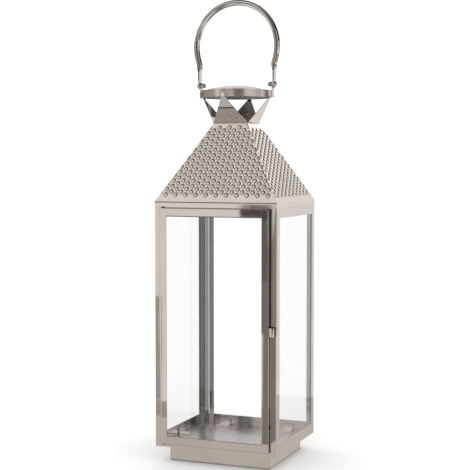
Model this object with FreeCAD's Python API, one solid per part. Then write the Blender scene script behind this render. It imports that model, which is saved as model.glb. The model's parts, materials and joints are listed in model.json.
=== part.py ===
import FreeCAD, Part
import math
import os

# Candle lantern of polished stainless sheet: plinth, glazed body with a front door,
# embossed hipped roof, open crown, round cap and a swinging tube handle.
# Millimetres. +Z up, front towards -Y, origin on the floor under the body's centre.

# ---- driving dimensions ----
WIDTH = 210.0             # body, left to right
DEPTH = 188.0             # body, front to back
SHEET = 1.0               # thickness of the folded sheet
PLINTH_INSET = 18.0       # plinth wall behind the body's outer face
PLINTH_HEIGHT = 25.5
EAVE_Z = 426.0            # fold between the fascia and the roof slope
FASCIA_HEIGHT = 9.0
POST_LEG = 15.0           # leg of each corner angle
BOTTOM_RAIL = 18.5        # visible height of the bottom rails
TOP_RAIL = 15.0           # visible height of the top rails under the fascia
RAIL_FLANGE = 24.0        # width of the flange that carries the floor

ROOF_TOP_Z = 552.6
ROOF_TOP_WIDTH = 60.0
ROOF_SKIN = 1.2           # horizontal thickness of the sloping sheets

CAP_RADIUS = 58.0
CAP_Z = 595.0             # lower edge of the cap's band
CAP_HEIGHT = 12.0
DOME_RISE = 9.0
CROWN_TIP = 6.0           # width of a crown plate where it meets the cap
TAB_HEIGHT = 5.5          # tab of the front and back crown plates, on the band

GLASS = 3.0
GLASS_TOP_Z = 412.0
GLASS_GAP = 0.2
CLIP_SHEET = 0.8
CLIP_WIDTH = 19.0
CLIP_FOOT = 20.0
CLIP_UPRIGHT = 10.5
BACK_CLIP_X = 57.0
ANGLE_X = 84.0            # left face of the upright angle inside the back pane
ANGLE_DEPTH = 10.0
ANGLE_WIDTH = 5.2

DOOR_HALF_WIDTH = 94.0
DOOR_Z0 = 32.5
DOOR_Z1 = 415.5
DOOR_BORDER = 12.0        # visible width of stiles and rails
DOOR_PROUD = 6.0          # door front ahead of the body front
DOOR_GAP = 0.4            # door back to body front
HINGE_PIN_R = 1.75
HINGE_PLAY = 0.05
HINGE_PIN_DEPTH = 12.0
LUG_SHEET = 1.2
LUG_GAP = 0.3
PIN_HEAD_R = 2.6
PIN_HEAD = 1.0
PULL_HEIGHT = 14.0
PULL_RADIUS = 4.0

PIVOT_Z = 616.2           # handle pivot
FLAT_X = 66.0             # middle of the handle's flattened ends
FLAT_THICKNESS = 2.4
FLAT_HALF_WIDTH = 6.25
ARCH_RADIUS = 71.0
ARCH_Z = 679.3            # centre of the handle's arch
TUBE_RADIUS = 5.0
TUBE_WALL = 1.0
LEAN = 14.0               # degrees that the handle's legs lean inwards
LEG_BEND = 25.0           # bend that brings the legs upright again
FLATTENING = 10.0         # length over which the tube turns into the flat end
SIDE_GAP = 0.3            # play on each side of the flattened ends
EAR_SHEET = 1.5
EAR_HALF_WIDTH = 5.0
BOLT_R = 2.5
BOLT_PLAY = 0.05
BOLT_HEAD_R = 4.5
BOLT_HEAD = 3.0
NUT_ACROSS = 8.0
NUT_HEX = 4.0
NUT_LENGTH = 8.0
DOME_FLAT_R = 0.6         # small flat at the tip of each domed head

# ---- worked-out dimensions ----
ROOF_TOP_DEPTH = ROOF_TOP_WIDTH * DEPTH / WIDTH
FASCIA_Z = EAVE_Z - FASCIA_HEIGHT
FLOOR_Z = PLINTH_HEIGHT + SHEET              # underside of the floor plate
SEAT_Z = FLOOR_Z + SHEET                     # top of the floor plate
CAP_TOP_Z = CAP_Z + CAP_HEIGHT
FRONT_Y = -DEPTH / 2
DOOR_Y = FRONT_Y - DOOR_PROUD
DOOR_BACK_Y = FRONT_Y - DOOR_GAP
ROLL_R = HINGE_PIN_R + HINGE_PLAY + SHEET
HINGE_X = -DOOR_HALF_WIDTH + ROLL_R
HINGE_Y = DOOR_Y + ROLL_R
EAR_OUT_X = FLAT_X - FLAT_THICKNESS / 2 - SIDE_GAP
EAR_IN_X = EAR_OUT_X - EAR_SHEET

# each side of the body: turn about Z, length along the side, distance of its face from the axis
SIDES = {
    "front": (0, WIDTH, DEPTH / 2),
    "right": (90, DEPTH, WIDTH / 2),
    "back": (180, WIDTH, DEPTH / 2),
    "left": (270, DEPTH, WIDTH / 2),
}

ORIGIN = FreeCAD.Vector(0, 0, 0)
X_AXIS = FreeCAD.Vector(1, 0, 0)
Z_AXIS = FreeCAD.Vector(0, 0, 1)


# ---- helpers ----
def vec(x, y, z):
    return FreeCAD.Vector(x, y, z)


def box(x0, x1, y0, y1, z0, z1):
    """Axis-aligned block between two corners given in any order."""
    low = vec(min(x0, x1), min(y0, y1), min(z0, z1))
    return Part.makeBox(abs(x1 - x0), abs(y1 - y0), abs(z1 - z0), low)


def prism(points, along):
    """Flat polygon swept along a vector."""
    wire = Part.makePolygon([vec(*p) for p in points + points[:1]])
    return Part.Face(wire).extrude(along)


def cylinder(radius, base, direction, length):
    return Part.makeCylinder(radius, length, base, direction)


def join(first, *others):
    """One solid from pieces that share faces."""
    return first.fuse(list(others)).removeSplitter()


def turned(shape, angle):
    """Copy turned about the vertical axis through the body's centre."""
    copy = shape.copy()
    copy.rotate(ORIGIN, Z_AXIS, angle)
    return copy


def on_side(shape, side):
    """Takes a shape drawn with its outer face on y = 0 and inwards as +y to a side of the body."""
    angle, _, face = SIDES[side]
    copy = shape.copy()
    copy.translate(vec(0, -face, 0))
    return turned(copy, angle)


def mirrored(shape):
    """Left-hand copy of a right-hand piece."""
    return shape.mirror(ORIGIN, X_AXIS)


def rectangle(width, depth, z):
    w = width / 2
    d = depth / 2
    return Part.makePolygon([vec(-w, -d, z), vec(w, -d, z), vec(w, d, z), vec(-w, d, z), vec(-w, -d, z)])


def frustum(width0, depth0, z0, width1, depth1, z1):
    return Part.makeLoft([rectangle(width0, depth0, z0), rectangle(width1, depth1, z1)], True, True)


def side_wedge(side):
    """Everything above the body that lies between the two hips of one side."""
    angle, length, face = SIDES[side]
    reach = 1.3
    low = FASCIA_Z - 5
    corner_x = reach * length / 2
    corner_y = -reach * face
    plan = [(0, 0, low), (-corner_x, corner_y, low), (corner_x, corner_y, low)]
    return turned(prism(plan, vec(0, 0, CAP_TOP_Z - low)), angle)


# ---- plinth and floor ----
def plinth_wall(side):
    """Upright strip of the plinth, mitred at the corners."""
    _, length, _ = SIDES[side]
    half = length / 2 - PLINTH_INSET
    inner = half - SHEET
    y0 = PLINTH_INSET
    y1 = PLINTH_INSET + SHEET
    plan = [(-half, y0, 0), (half, y0, 0), (inner, y1, 0), (-inner, y1, 0)]
    return on_side(prism(plan, vec(0, 0, PLINTH_HEIGHT)), side)


def base_plate():
    """Sheet that closes the plinth and lies on the floor."""
    half_x = WIDTH / 2 - PLINTH_INSET - SHEET
    half_y = DEPTH / 2 - PLINTH_INSET - SHEET
    return box(-half_x, half_x, -half_y, half_y, 0, SHEET)


def floor_plate():
    half_x = WIDTH / 2 - SHEET - GLASS_GAP
    half_y = DEPTH / 2 - SHEET - GLASS_GAP
    return box(-half_x, half_x, -half_y, half_y, FLOOR_Z, SEAT_Z)


# ---- body frame ----
def post(x_side, y_side):
    """Corner angle from the bottom of the body to the fascia."""
    x1 = x_side * WIDTH / 2
    y1 = y_side * DEPTH / 2
    x0 = x1 - x_side * POST_LEG
    y0 = y1 - y_side * POST_LEG
    outer = box(x0, x1, y0, y1, PLINTH_HEIGHT, FASCIA_Z)
    inner = box(x0, x1 - x_side * SHEET, y0, y1 - y_side * SHEET, PLINTH_HEIGHT, FASCIA_Z)
    return outer.cut(inner)


def bottom_rail(side):
    """Upright web between the posts with a mitred flange under the floor plate."""
    _, length, _ = SIDES[side]
    half_web = length / 2 - POST_LEG
    web = box(-half_web, half_web, 0, SHEET, PLINTH_HEIGHT, PLINTH_HEIGHT + BOTTOM_RAIL)
    outer = length / 2 - SHEET
    inner = length / 2 - RAIL_FLANGE
    z = PLINTH_HEIGHT
    plan = [(-outer, SHEET, z), (outer, SHEET, z), (inner, RAIL_FLANGE, z), (-inner, RAIL_FLANGE, z)]
    flange = prism(plan, vec(0, 0, SHEET))
    return on_side(join(web, flange), side)


def top_rail(side):
    """Web under the fascia, stepped inwards behind it where the roof is welded on."""
    _, length, _ = SIDES[side]
    half = length / 2 - POST_LEG
    low = FASCIA_Z - TOP_RAIL
    step = FASCIA_Z - SHEET
    top = EAVE_Z - SHEET
    section = [
        (-half, 0, low),
        (-half, 0, FASCIA_Z),
        (-half, SHEET, FASCIA_Z),
        (-half, SHEET, top),
        (-half, 2 * SHEET, top),
        (-half, 2 * SHEET, step),
        (-half, SHEET, step),
        (-half, SHEET, low),
    ]
    return on_side(prism(section, vec(2 * half, 0, 0)), side)


# ---- fixed glass and its clips ----
def side_glass(x_side):
    x1 = x_side * (WIDTH / 2 - SHEET)
    x0 = x1 - x_side * GLASS
    y0 = FRONT_Y + SHEET + GLASS_GAP
    y1 = DEPTH / 2 - SHEET - GLASS - GLASS_GAP
    return box(x0, x1, y0, y1, SEAT_Z, GLASS_TOP_Z)


def back_glass():
    half = WIDTH / 2 - SHEET - GLASS - GLASS_GAP
    y1 = DEPTH / 2 - SHEET
    return box(-half, half, y1 - GLASS, y1, SEAT_Z, GLASS_TOP_Z)


def glass_angle():
    """Upright angle against the inside of the back pane, near its left edge."""
    x0 = -ANGLE_X
    y1 = DEPTH / 2 - SHEET - GLASS
    leg = box(x0, x0 + CLIP_SHEET, y1 - ANGLE_DEPTH, y1, SEAT_Z, GLASS_TOP_Z)
    flange = box(x0, x0 + ANGLE_WIDTH, y1 - CLIP_SHEET, y1, SEAT_Z, GLASS_TOP_Z)
    return join(leg, flange)


def clip_pair(along):
    """Bent tab on the floor and bent tab on the top rail that hold one pane."""
    x0 = along - CLIP_WIDTH / 2
    x1 = along + CLIP_WIDTH / 2
    pane = SHEET + GLASS
    foot = box(x0, x1, pane, pane + CLIP_FOOT, SEAT_Z, SEAT_Z + CLIP_SHEET)
    upright = box(x0, x1, pane, pane + CLIP_SHEET, SEAT_Z, SEAT_Z + CLIP_UPRIGHT)
    step = FASCIA_Z - SHEET
    behind = 2 * SHEET
    weld = box(x0, x1, behind, behind + CLIP_SHEET, step, EAVE_Z - SHEET)
    bridge = box(x0, x1, behind, pane + CLIP_SHEET, step, step + CLIP_SHEET)
    drop = box(x0, x1, pane, pane + CLIP_SHEET, GLASS_TOP_Z - CLIP_UPRIGHT, step + CLIP_SHEET)
    return [join(foot, upright), join(weld, bridge, drop)]


def glass_clips(side, places):
    clips = []
    for along in places:
        clips += [on_side(clip, side) for clip in clip_pair(along)]
    return Part.makeCompound(clips)


# ---- roof and crown ----
def roof_shell():
    """Four slopes and the fascia below them, before they are parted along the hips."""
    outer = frustum(WIDTH, DEPTH, EAVE_Z, ROOF_TOP_WIDTH, ROOF_TOP_DEPTH, ROOF_TOP_Z)
    skin = 2 * ROOF_SKIN
    inner = frustum(
        WIDTH - skin, DEPTH - skin, EAVE_Z, ROOF_TOP_WIDTH - skin, ROOF_TOP_DEPTH - skin, ROOF_TOP_Z
    )
    slopes = outer.cut(inner)
    half_x = WIDTH / 2
    half_y = DEPTH / 2
    fascia = box(-half_x, half_x, -half_y, half_y, FASCIA_Z, EAVE_Z)
    bore_x = half_x - SHEET
    bore_y = half_y - SHEET
    fascia = fascia.cut(box(-bore_x, bore_x, -bore_y, bore_y, FASCIA_Z, EAVE_Z))
    return join(slopes, fascia)


def crown_plate(side):
    """Triangular plate from the roof's top edge out to the cap, or to the ear at the sides."""
    angle, _, _ = SIDES[side]
    across, face = (ROOF_TOP_WIDTH, ROOF_TOP_DEPTH)
    if side in ("left", "right"):
        across, face = (ROOF_TOP_DEPTH, ROOF_TOP_WIDTH)
    tip = CROWN_TIP / 2
    tip_y = -CAP_RADIUS - ROOF_SKIN
    outline = [
        (-across / 2, -face / 2, ROOF_TOP_Z),
        (across / 2, -face / 2, ROOF_TOP_Z),
        (tip, tip_y, CAP_Z),
        (-tip, tip_y, CAP_Z),
    ]
    plate = prism(outline, vec(0, ROOF_SKIN, 0))
    if side in ("front", "back"):
        ring = cylinder(CAP_RADIUS + ROOF_SKIN, vec(0, 0, CAP_Z), Z_AXIS, TAB_HEIGHT)
        ring = ring.cut(cylinder(CAP_RADIUS, vec(0, 0, CAP_Z), Z_AXIS, TAB_HEIGHT))
        tab = ring.common(box(-tip, tip, -2 * CAP_RADIUS, 0, CAP_Z, CAP_Z + TAB_HEIGHT))
        plate = join(plate, tab)
    return turned(plate, angle).common(side_wedge(side))


# ---- cap ----
def cap_ring():
    """Round band with a narrow lip turned inwards at its lower edge."""
    lip = 3.0
    band = cylinder(CAP_RADIUS, vec(0, 0, CAP_Z), Z_AXIS, CAP_HEIGHT)
    band = band.cut(cylinder(CAP_RADIUS - SHEET, vec(0, 0, CAP_Z + SHEET), Z_AXIS, CAP_HEIGHT))
    return band.cut(cylinder(CAP_RADIUS - SHEET - lip, vec(0, 0, CAP_Z), Z_AXIS, SHEET))


def cap_dome():
    """Shallow pressed lid whose skirt sits inside the band."""
    rim = CAP_RADIUS - SHEET
    rim_z = CAP_TOP_Z - SHEET
    skirt = 6.0
    sphere = (rim**2 + DOME_RISE**2) / (2 * DOME_RISE)
    centre_z = rim_z + DOME_RISE - sphere

    def on_sphere(radius, r):
        return vec(r, 0, centre_z + math.sqrt(radius**2 - r**2))

    inner = sphere - SHEET
    inner_rim = rim - SHEET
    top = Part.Arc(on_sphere(sphere, 0), on_sphere(sphere, rim / 2), on_sphere(sphere, rim))
    under = Part.Arc(on_sphere(inner, inner_rim), on_sphere(inner, rim / 2), on_sphere(inner, 0))
    edges = [
        top.toShape(),
        Part.makeLine(on_sphere(sphere, rim), vec(rim, 0, rim_z - skirt)),
        Part.makeLine(vec(rim, 0, rim_z - skirt), vec(inner_rim, 0, rim_z - skirt)),
        Part.makeLine(vec(inner_rim, 0, rim_z - skirt), on_sphere(inner, inner_rim)),
        under.toShape(),
        Part.makeLine(on_sphere(inner, 0), on_sphere(sphere, 0)),
    ]
    return Part.Face(Part.Wire(edges)).revolve(ORIGIN, Z_AXIS, 360)


# ---- ears, pivot bolts and cap nuts of the handle ----
def ear():
    """Right-hand bracket: foot on the band, upright strip with the pivot hole."""
    w = EAR_HALF_WIDTH
    strip = box(EAR_IN_X, EAR_OUT_X, -w, w, CAP_Z, PIVOT_Z)
    head = cylinder(w, vec(EAR_IN_X, 0, PIVOT_Z), X_AXIS, EAR_SHEET)
    foot = box(CAP_RADIUS - 3, EAR_IN_X, -w, w, CAP_Z, CAP_Z + EAR_SHEET)
    foot = foot.cut(cylinder(CAP_RADIUS, vec(0, 0, CAP_Z - 1), Z_AXIS, CAP_HEIGHT))
    hole = cylinder(BOLT_R, vec(EAR_IN_X - 1, 0, PIVOT_Z), X_AXIS, EAR_SHEET + 2)
    return join(strip, head, foot).cut(hole)


def about_pivot(edges):
    """Solid of revolution about the pivot axis from a closed outline in the XZ plane."""
    return Part.Face(Part.Wire(edges)).revolve(vec(0, 0, PIVOT_Z), X_AXIS, 360)


def pivot_bolt():
    """Right-hand bolt with a low domed head."""
    shank_end = EAR_IN_X - NUT_LENGTH + 2
    under_head = FLAT_X + FLAT_THICKNESS / 2 + SIDE_GAP
    head_end = under_head + BOLT_HEAD

    def at(x, r):
        return vec(x, 0, PIVOT_Z + r)

    dome = Part.Arc(
        at(under_head + 1, BOLT_HEAD_R), at(head_end - 0.7, BOLT_HEAD_R * 0.62), at(head_end, DOME_FLAT_R)
    )
    edges = [
        Part.makeLine(at(shank_end, 0), at(shank_end, BOLT_R)),
        Part.makeLine(at(shank_end, BOLT_R), at(under_head, BOLT_R)),
        Part.makeLine(at(under_head, BOLT_R), at(under_head, BOLT_HEAD_R)),
        Part.makeLine(at(under_head, BOLT_HEAD_R), at(under_head + 1, BOLT_HEAD_R)),
        dome.toShape(),
        Part.makeLine(at(head_end, DOME_FLAT_R), at(head_end, 0)),
        Part.makeLine(at(head_end, 0), at(shank_end, 0)),
    ]
    return about_pivot(edges)


def cap_nut():
    """Right-hand acorn nut on the inner face of the ear."""
    corner = NUT_ACROSS / math.sqrt(3)
    corners = []
    for i in range(6):
        a = math.radians(60 * i)
        corners.append((EAR_IN_X, corner * math.cos(a), PIVOT_Z + corner * math.sin(a)))
    hexagon = prism(corners, vec(-NUT_HEX, 0, 0))
    dome_r = NUT_ACROSS / 2 - 0.3
    start = EAR_IN_X - NUT_HEX
    end = EAR_IN_X - NUT_LENGTH

    def at(x, r):
        return vec(x, 0, PIVOT_Z + r)

    curve = Part.Arc(at(start - 1, dome_r), at(end + 0.9, dome_r * 0.72), at(end, DOME_FLAT_R))
    dome = about_pivot([
        Part.makeLine(at(start, 0), at(start, dome_r)),
        Part.makeLine(at(start, dome_r), at(start - 1, dome_r)),
        curve.toShape(),
        Part.makeLine(at(end, DOME_FLAT_R), at(end, 0)),
        Part.makeLine(at(end, 0), at(start, 0)),
    ])
    bore = cylinder(BOLT_R, vec(end + 2, 0, PIVOT_Z), X_AXIS, NUT_LENGTH)
    return join(hexagon, dome).cut(bore)


# ---- handle ----
def handle_path():
    """Arch with two legs that lean inwards and then stand upright, from left to right."""
    lean = math.radians(LEAN)
    arch_x = ARCH_RADIUS * math.cos(lean)
    arch_z = ARCH_Z - ARCH_RADIUS * math.sin(lean)
    bend_x = FLAT_X + LEG_BEND * (1 - math.cos(lean))
    run = (arch_x - bend_x) / math.sin(lean)
    bend_z = arch_z - run * math.cos(lean)
    foot_z = bend_z - LEG_BEND * math.sin(lean)
    middle_x = FLAT_X + LEG_BEND * (1 - math.cos(lean / 2))
    middle_z = foot_z + LEG_BEND * math.sin(lean / 2)
    edges = [
        Part.Arc(vec(-FLAT_X, 0, foot_z), vec(-middle_x, 0, middle_z), vec(-bend_x, 0, bend_z)).toShape(),
        Part.makeLine(vec(-bend_x, 0, bend_z), vec(-arch_x, 0, arch_z)),
        Part.Arc(vec(-arch_x, 0, arch_z), vec(0, 0, ARCH_Z + ARCH_RADIUS), vec(arch_x, 0, arch_z)).toShape(),
        Part.makeLine(vec(arch_x, 0, arch_z), vec(bend_x, 0, bend_z)),
        Part.Arc(vec(bend_x, 0, bend_z), vec(middle_x, 0, middle_z), vec(FLAT_X, 0, foot_z)).toShape(),
    ]
    return Part.Wire(edges), foot_z


def pipe(path, radius, foot_z):
    section = Part.Wire([Part.makeCircle(radius, vec(-FLAT_X, 0, foot_z), Z_AXIS)])
    return path.makePipeShell([section], True, False)


def oval(half_width, half_thickness, z):
    """Circle or ellipse about the right leg's centre line, its long axis along Y."""
    tip = vec(FLAT_X, half_width, z)
    side = vec(FLAT_X + half_thickness, 0, z)
    if half_width == half_thickness:
        return Part.Wire([Part.Circle(tip, side, vec(FLAT_X, -half_width, z)).toShape()])
    return Part.Wire([Part.Ellipse(tip, side, vec(FLAT_X, 0, z)).toShape()])


def flattened_end(foot_z):
    """Right leg's end: the round tube pressed flat, with a rounded tip."""
    thin = FLAT_THICKNESS / 2
    low_z = foot_z - FLATTENING
    sections = [
        oval(TUBE_RADIUS, TUBE_RADIUS, foot_z),
        oval(TUBE_RADIUS + 0.3, TUBE_RADIUS * 0.84, foot_z - FLATTENING * 0.28),
        oval(TUBE_RADIUS + 0.9, TUBE_RADIUS * 0.5, foot_z - FLATTENING * 0.62),
        oval(FLAT_HALF_WIDTH, thin, low_z),
    ]
    neck = Part.makeLoft(sections, True, False)
    x0 = FLAT_X - thin
    strip = box(x0, FLAT_X + thin, -FLAT_HALF_WIDTH, FLAT_HALF_WIDTH, PIVOT_Z, low_z)
    tip = cylinder(FLAT_HALF_WIDTH, vec(x0, 0, PIVOT_Z), X_AXIS, FLAT_THICKNESS)
    hole = cylinder(BOLT_R + BOLT_PLAY, vec(x0 - 1, 0, PIVOT_Z), X_AXIS, FLAT_THICKNESS + 2)
    return neck.fuse([strip, tip]).cut(hole)


def handle():
    path, foot_z = handle_path()
    tube = pipe(path, TUBE_RADIUS, foot_z).cut(pipe(path, TUBE_RADIUS - TUBE_WALL, foot_z))
    end = flattened_end(foot_z)
    return tube.fuse([end, mirrored(end)])


# ---- door ----
def hinge_lug(z0):
    """Rounded plate that stands forward from the left post and holds a hinge pin."""
    plate = box(HINGE_X - ROLL_R, HINGE_X + ROLL_R, HINGE_Y, FRONT_Y, z0, z0 + LUG_SHEET)
    nose = cylinder(ROLL_R, vec(HINGE_X, HINGE_Y, z0), Z_AXIS, LUG_SHEET)
    hole = cylinder(HINGE_PIN_R, vec(HINGE_X, HINGE_Y, z0 - 1), Z_AXIS, LUG_SHEET + 2)
    return join(plate, nose).cut(hole)


def hinge_pin(lug_z0, upward):
    """Headed pin through a lug into the rolled edge of the door."""
    if upward:
        head_z = lug_z0 - PIN_HEAD
        shank_z = lug_z0
    else:
        head_z = lug_z0 + LUG_SHEET
        shank_z = head_z - LUG_SHEET - LUG_GAP - HINGE_PIN_DEPTH
    head = cylinder(PIN_HEAD_R, vec(HINGE_X, HINGE_Y, head_z), Z_AXIS, PIN_HEAD)
    length = LUG_SHEET + LUG_GAP + HINGE_PIN_DEPTH
    shank = cylinder(HINGE_PIN_R, vec(HINGE_X, HINGE_Y, shank_z), Z_AXIS, length)
    return join(head, shank)


def door_returns(x0, x1):
    """The two short returns that close a stile at its top and bottom."""
    back = DOOR_BACK_Y - GLASS_GAP
    y0 = DOOR_Y + SHEET
    low = box(x0, x1, y0, back, DOOR_Z0, DOOR_Z0 + SHEET)
    high = box(x0, x1, y0, back, DOOR_Z1 - SHEET, DOOR_Z1)
    return [low, high]


def door_stile_left():
    """Hinge stile: its outer edge is rolled round the pins."""
    height = DOOR_Z1 - DOOR_Z0
    inner_x = -DOOR_HALF_WIDTH + DOOR_BORDER
    web = box(HINGE_X, inner_x, DOOR_Y, DOOR_Y + SHEET, DOOR_Z0, DOOR_Z1)
    roll = cylinder(ROLL_R, vec(HINGE_X, HINGE_Y, DOOR_Z0), Z_AXIS, height)
    bore = cylinder(ROLL_R - SHEET, vec(HINGE_X, HINGE_Y, DOOR_Z0), Z_AXIS, height)
    return join(web, roll, *door_returns(HINGE_X + ROLL_R + 0.5, inner_x)).cut(bore)


def door_stile_right():
    inner_x = DOOR_HALF_WIDTH - DOOR_BORDER
    edge_x = DOOR_HALF_WIDTH - SHEET
    web = box(inner_x, DOOR_HALF_WIDTH, DOOR_Y, DOOR_Y + SHEET, DOOR_Z0, DOOR_Z1)
    edge = box(edge_x, DOOR_HALF_WIDTH, DOOR_Y + SHEET, DOOR_BACK_Y, DOOR_Z0, DOOR_Z1)
    return join(web, edge, *door_returns(inner_x, edge_x))


def door_rail(outer_z, upward):
    """Rail between the stiles: web and a return along the door's outer edge."""
    half = DOOR_HALF_WIDTH - DOOR_BORDER
    inward = upward * DOOR_BORDER
    web = box(-half, half, DOOR_Y, DOOR_Y + SHEET, outer_z, outer_z + inward)
    edge = box(-half, half, DOOR_Y + SHEET, DOOR_BACK_Y, outer_z, outer_z + upward * SHEET)
    return join(web, edge)


def door_glass():
    y0 = DOOR_Y + SHEET
    x0 = HINGE_X + ROLL_R + 0.8
    x1 = DOOR_HALF_WIDTH - SHEET - GLASS_GAP
    z0 = DOOR_Z0 + SHEET + GLASS_GAP
    return box(x0, x1, y0, y0 + GLASS, z0, DOOR_Z1 - SHEET - GLASS_GAP)


def door_glass_clips():
    """Flat tabs welded to the returns that hold the door's pane from behind."""
    y0 = DOOR_Y + SHEET + GLASS
    y1 = y0 + CLIP_SHEET
    reach = 8.0
    half = CLIP_WIDTH / 2
    edge_x = DOOR_HALF_WIDTH - SHEET
    tabs = []
    for z in (DOOR_Z0 + 90, DOOR_Z1 - 90):
        tabs.append(box(edge_x - reach, edge_x, y0, y1, z - half, z + half))
    for x in (-50, 50):
        low = DOOR_Z0 + SHEET
        high = DOOR_Z1 - SHEET
        tabs.append(box(x - half, x + half, y0, y1, low, low + reach))
        tabs.append(box(x - half, x + half, y0, y1, high - reach, high))
    return Part.makeCompound(tabs)


def door_pull():
    """Strip on the door's free edge, rolled into a curl for the fingertip."""
    z0 = (DOOR_Z0 + DOOR_Z1 - PULL_HEIGHT) / 2
    foot_x = DOOR_HALF_WIDTH + SHEET
    centre = vec(foot_x + PULL_RADIUS, FRONT_Y - 0.6 - PULL_RADIUS, z0)
    foot = box(DOOR_HALF_WIDTH, foot_x, DOOR_Y + 0.6, DOOR_BACK_Y - 0.6, z0, z0 + PULL_HEIGHT)
    curl = cylinder(PULL_RADIUS, centre, Z_AXIS, PULL_HEIGHT)
    link = box(foot_x, centre.x, centre.y - PULL_RADIUS, centre.y - PULL_RADIUS + SHEET, z0, z0 + PULL_HEIGHT)
    link = link.common(curl)
    slot = box(foot_x, centre.x, centre.y + 1, centre.y + PULL_RADIUS, z0, z0 + PULL_HEIGHT)
    curl = curl.cut(cylinder(PULL_RADIUS - SHEET, centre, Z_AXIS, PULL_HEIGHT)).cut(slot)
    bridge = box(DOOR_HALF_WIDTH, foot_x + 0.5, centre.y - 1.5, centre.y + 1, z0, z0 + PULL_HEIGHT)
    bridge = bridge.cut(cylinder(PULL_RADIUS - SHEET, centre, Z_AXIS, PULL_HEIGHT))
    return join(foot, curl, link, bridge)


# ---- all pieces ----
def build():
    pieces = {}
    shell = roof_shell()
    for side in SIDES:
        pieces["plinth_" + side] = plinth_wall(side)
        pieces["bottom_rail_" + side] = bottom_rail(side)
        pieces["top_rail_" + side] = top_rail(side)
        pieces["roof_" + side] = shell.common(side_wedge(side))
        pieces["crown_" + side] = crown_plate(side)
    for y_name, y_side in (("front", -1), ("back", 1)):
        for x_name, x_side in (("left", -1), ("right", 1)):
            pieces["post_" + y_name + "_" + x_name] = post(x_side, y_side)
    pieces["base_plate"] = base_plate()
    pieces["floor_plate"] = floor_plate()
    pieces["glass_left"] = side_glass(-1)
    pieces["glass_right"] = side_glass(1)
    pieces["glass_back"] = back_glass()
    pieces["glass_angle"] = glass_angle()
    pieces["glass_clips_left"] = glass_clips("left", [0])
    pieces["glass_clips_right"] = glass_clips("right", [0])
    pieces["glass_clips_back"] = glass_clips("back", [-BACK_CLIP_X, BACK_CLIP_X])
    pieces["cap_ring"] = cap_ring()
    pieces["cap_dome"] = cap_dome()
    for name, right_hand in (("ear", ear()), ("pivot_bolt", pivot_bolt()), ("cap_nut", cap_nut())):
        pieces[name + "_right"] = right_hand
        pieces[name + "_left"] = mirrored(right_hand)
    low_lug_z = DOOR_Z0 - LUG_GAP - LUG_SHEET
    high_lug_z = DOOR_Z1 + LUG_GAP
    pieces["hinge_lug_bottom"] = hinge_lug(low_lug_z)
    pieces["hinge_lug_top"] = hinge_lug(high_lug_z)
    pieces["hinge_pin_bottom"] = hinge_pin(low_lug_z, True)
    pieces["hinge_pin_top"] = hinge_pin(high_lug_z, False)
    pieces["door_stile_left"] = door_stile_left()
    pieces["door_stile_right"] = door_stile_right()
    pieces["door_rail_bottom"] = door_rail(DOOR_Z0, 1)
    pieces["door_rail_top"] = door_rail(DOOR_Z1, -1)
    pieces["door_glass"] = door_glass()
    pieces["door_glass_clips"] = door_glass_clips()
    pieces["door_pull"] = door_pull()
    pieces["handle"] = handle()
    return pieces


def main():
    os.makedirs("parts", exist_ok=True)
    for name, shape in build().items():
        if not shape.isValid():
            raise RuntimeError(name + " is not a valid shape")
        shape.exportStep("parts/" + name + ".step")
        box_ = shape.BoundBox
        print(f"{name}: {len(shape.Solids)} solid, {shape.Volume:.0f} mm3, z {box_.ZMin:.1f} to {box_.ZMax:.1f}")


main()
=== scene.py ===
import json
from math import atan2, cos, floor, hypot, pi, radians, sin, tan

import bmesh
import bpy
from mathutils import Matrix, Vector

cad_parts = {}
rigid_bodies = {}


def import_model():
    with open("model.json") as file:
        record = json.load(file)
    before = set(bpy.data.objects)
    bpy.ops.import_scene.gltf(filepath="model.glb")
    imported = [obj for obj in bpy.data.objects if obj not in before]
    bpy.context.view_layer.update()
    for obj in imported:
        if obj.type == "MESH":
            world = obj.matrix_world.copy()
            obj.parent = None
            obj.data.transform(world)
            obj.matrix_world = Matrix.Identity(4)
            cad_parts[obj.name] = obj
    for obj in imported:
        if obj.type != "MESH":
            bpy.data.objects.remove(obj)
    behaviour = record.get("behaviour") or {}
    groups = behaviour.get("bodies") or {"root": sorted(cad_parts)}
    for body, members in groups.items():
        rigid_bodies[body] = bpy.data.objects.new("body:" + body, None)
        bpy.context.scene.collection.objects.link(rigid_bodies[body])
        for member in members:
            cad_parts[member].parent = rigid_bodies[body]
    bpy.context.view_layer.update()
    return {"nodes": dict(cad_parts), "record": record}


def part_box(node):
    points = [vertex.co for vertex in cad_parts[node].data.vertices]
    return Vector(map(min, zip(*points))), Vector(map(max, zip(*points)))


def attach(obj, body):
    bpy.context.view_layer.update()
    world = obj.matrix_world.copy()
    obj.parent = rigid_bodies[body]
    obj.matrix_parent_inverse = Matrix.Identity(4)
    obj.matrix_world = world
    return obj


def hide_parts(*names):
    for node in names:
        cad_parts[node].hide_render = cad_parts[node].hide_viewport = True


for leftover in list(bpy.data.objects):
    bpy.data.objects.remove(leftover)

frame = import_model()

NODES = frame["nodes"]
BEHAVIOUR = frame["record"]["behaviour"]
MM = 0.001
scene = bpy.context.scene


# ---------------------------------------------------------------- sizes, in mm

def reach(node, axis):
    """How far a CAD piece reaches from the origin along X (0), Y (1) or Z (2)."""
    low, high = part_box(node)
    return max(-low[axis], high[axis]) / MM


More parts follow.
